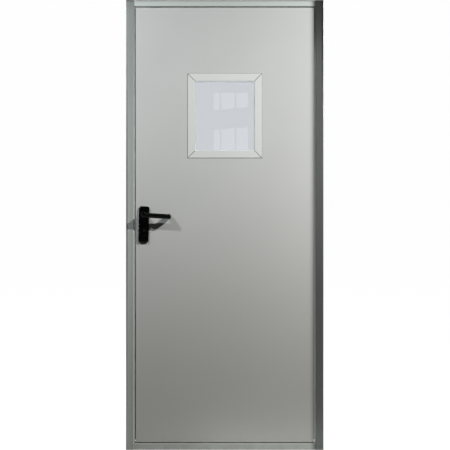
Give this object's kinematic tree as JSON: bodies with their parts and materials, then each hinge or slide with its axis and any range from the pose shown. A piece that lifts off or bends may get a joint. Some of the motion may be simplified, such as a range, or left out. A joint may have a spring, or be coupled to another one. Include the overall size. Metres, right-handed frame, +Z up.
{
  "type": "steel utility door",
  "caption": "Insulated steel single-leaf door in its pressed-steel frame, with a small bead-glazed window, knuckle hinges and a black lever handle set.",
  "frame": {"origin": "middle of the sill's underside, halfway through the frame's depth", "axes": "+X to the hinge side, seen from the push side; +Y from the push side to the pull side, the way the leaf opens; +Z up"},
  "size_m": [0.9, 0.1816, 2.05],
  "materials": {
    "frame_paint": "satin",
    "leaf_paint": "satin",
    "bead_paint": "satin",
    "channel_paint": "satin",
    "hinge_steel": "satin",
    "zinc_steel": "satin",
    "cylinder_nickel": "satin",
    "black_handle": "satin",
    "black_rubber": "matte",
    "grey_rubber": "matte",
    "cap_plastic": "matte",
    "mineral_wool": "matte",
    "window_glass": "polished"
  },
  "bodies": {
    "frame": {"jamb_lock_side": "frame_paint", "jamb_hinge_side": "frame_paint", "frame_head": "frame_paint", "frame_sill": "frame_paint", "strike_boxes": "zinc_steel", "wall_anchors": "zinc_steel", "anchor_caps": "cap_plastic", "lip_gaskets": "black_rubber", "groove_seals": "grey_rubber", "upper_hinge_frame": "hinge_steel", "lower_hinge_frame": "hinge_steel", "hinge_pins": "zinc_steel", "hinge_washers": "zinc_steel"},
    "leaf": {"leaf_push_sheet": "leaf_paint", "leaf_pull_sheet": "leaf_paint", "leaf_bottom_channel": "channel_paint", "bottom_seal": "black_rubber", "core_push_batt": "mineral_wool", "core_mid_sheet": "channel_paint", "core_pull_batt": "mineral_wool", "window_liner": "leaf_paint", "glass_pane": "window_glass", "glazing_gasket_push": "grey_rubber", "glazing_gasket_pull": "grey_rubber", "glazing_bead_push_top": "bead_paint", "glazing_bead_push_bottom": "bead_paint", "glazing_bead_push_left": "bead_paint", "glazing_bead_push_right": "bead_paint", "glazing_bead_pull_top": "bead_paint", "glazing_bead_pull_bottom": "bead_paint", "glazing_bead_pull_left": "bead_paint", "glazing_bead_pull_right": "bead_paint", "lock_case": "zinc_steel", "lock_faceplate": "zinc_steel", "latch_nose": "zinc_steel", "deadbolt": "zinc_steel", "profile_cylinder": "cylinder_nickel", "push_handle_plate": "black_handle", "pull_handle_plate": "black_handle", "upper_hinge_leaf": "hinge_steel", "lower_hinge_leaf": "hinge_steel"},
    "handle": {"push_lever": "black_handle", "pull_lever": "black_handle", "spindle": "zinc_steel", "lock_follower": "zinc_steel"}
  },
  "joints": [
    {"name": "leaf_swing", "type": "hinge", "parent": "frame", "child": "leaf", "pos_m": [0.439, 0.04, 0], "axis": [0, 0, -1], "range_deg": [0, 170]},
    {"name": "handle_turn", "type": "hinge", "parent": "leaf", "child": "handle", "pos_m": [-0.367, 0.004, 1.074], "axis": [0, 1, 0], "range_deg": [0, 40], "stiffness_Nm_per_rad": 1.5, "springref_deg": -45.84}
  ]
}
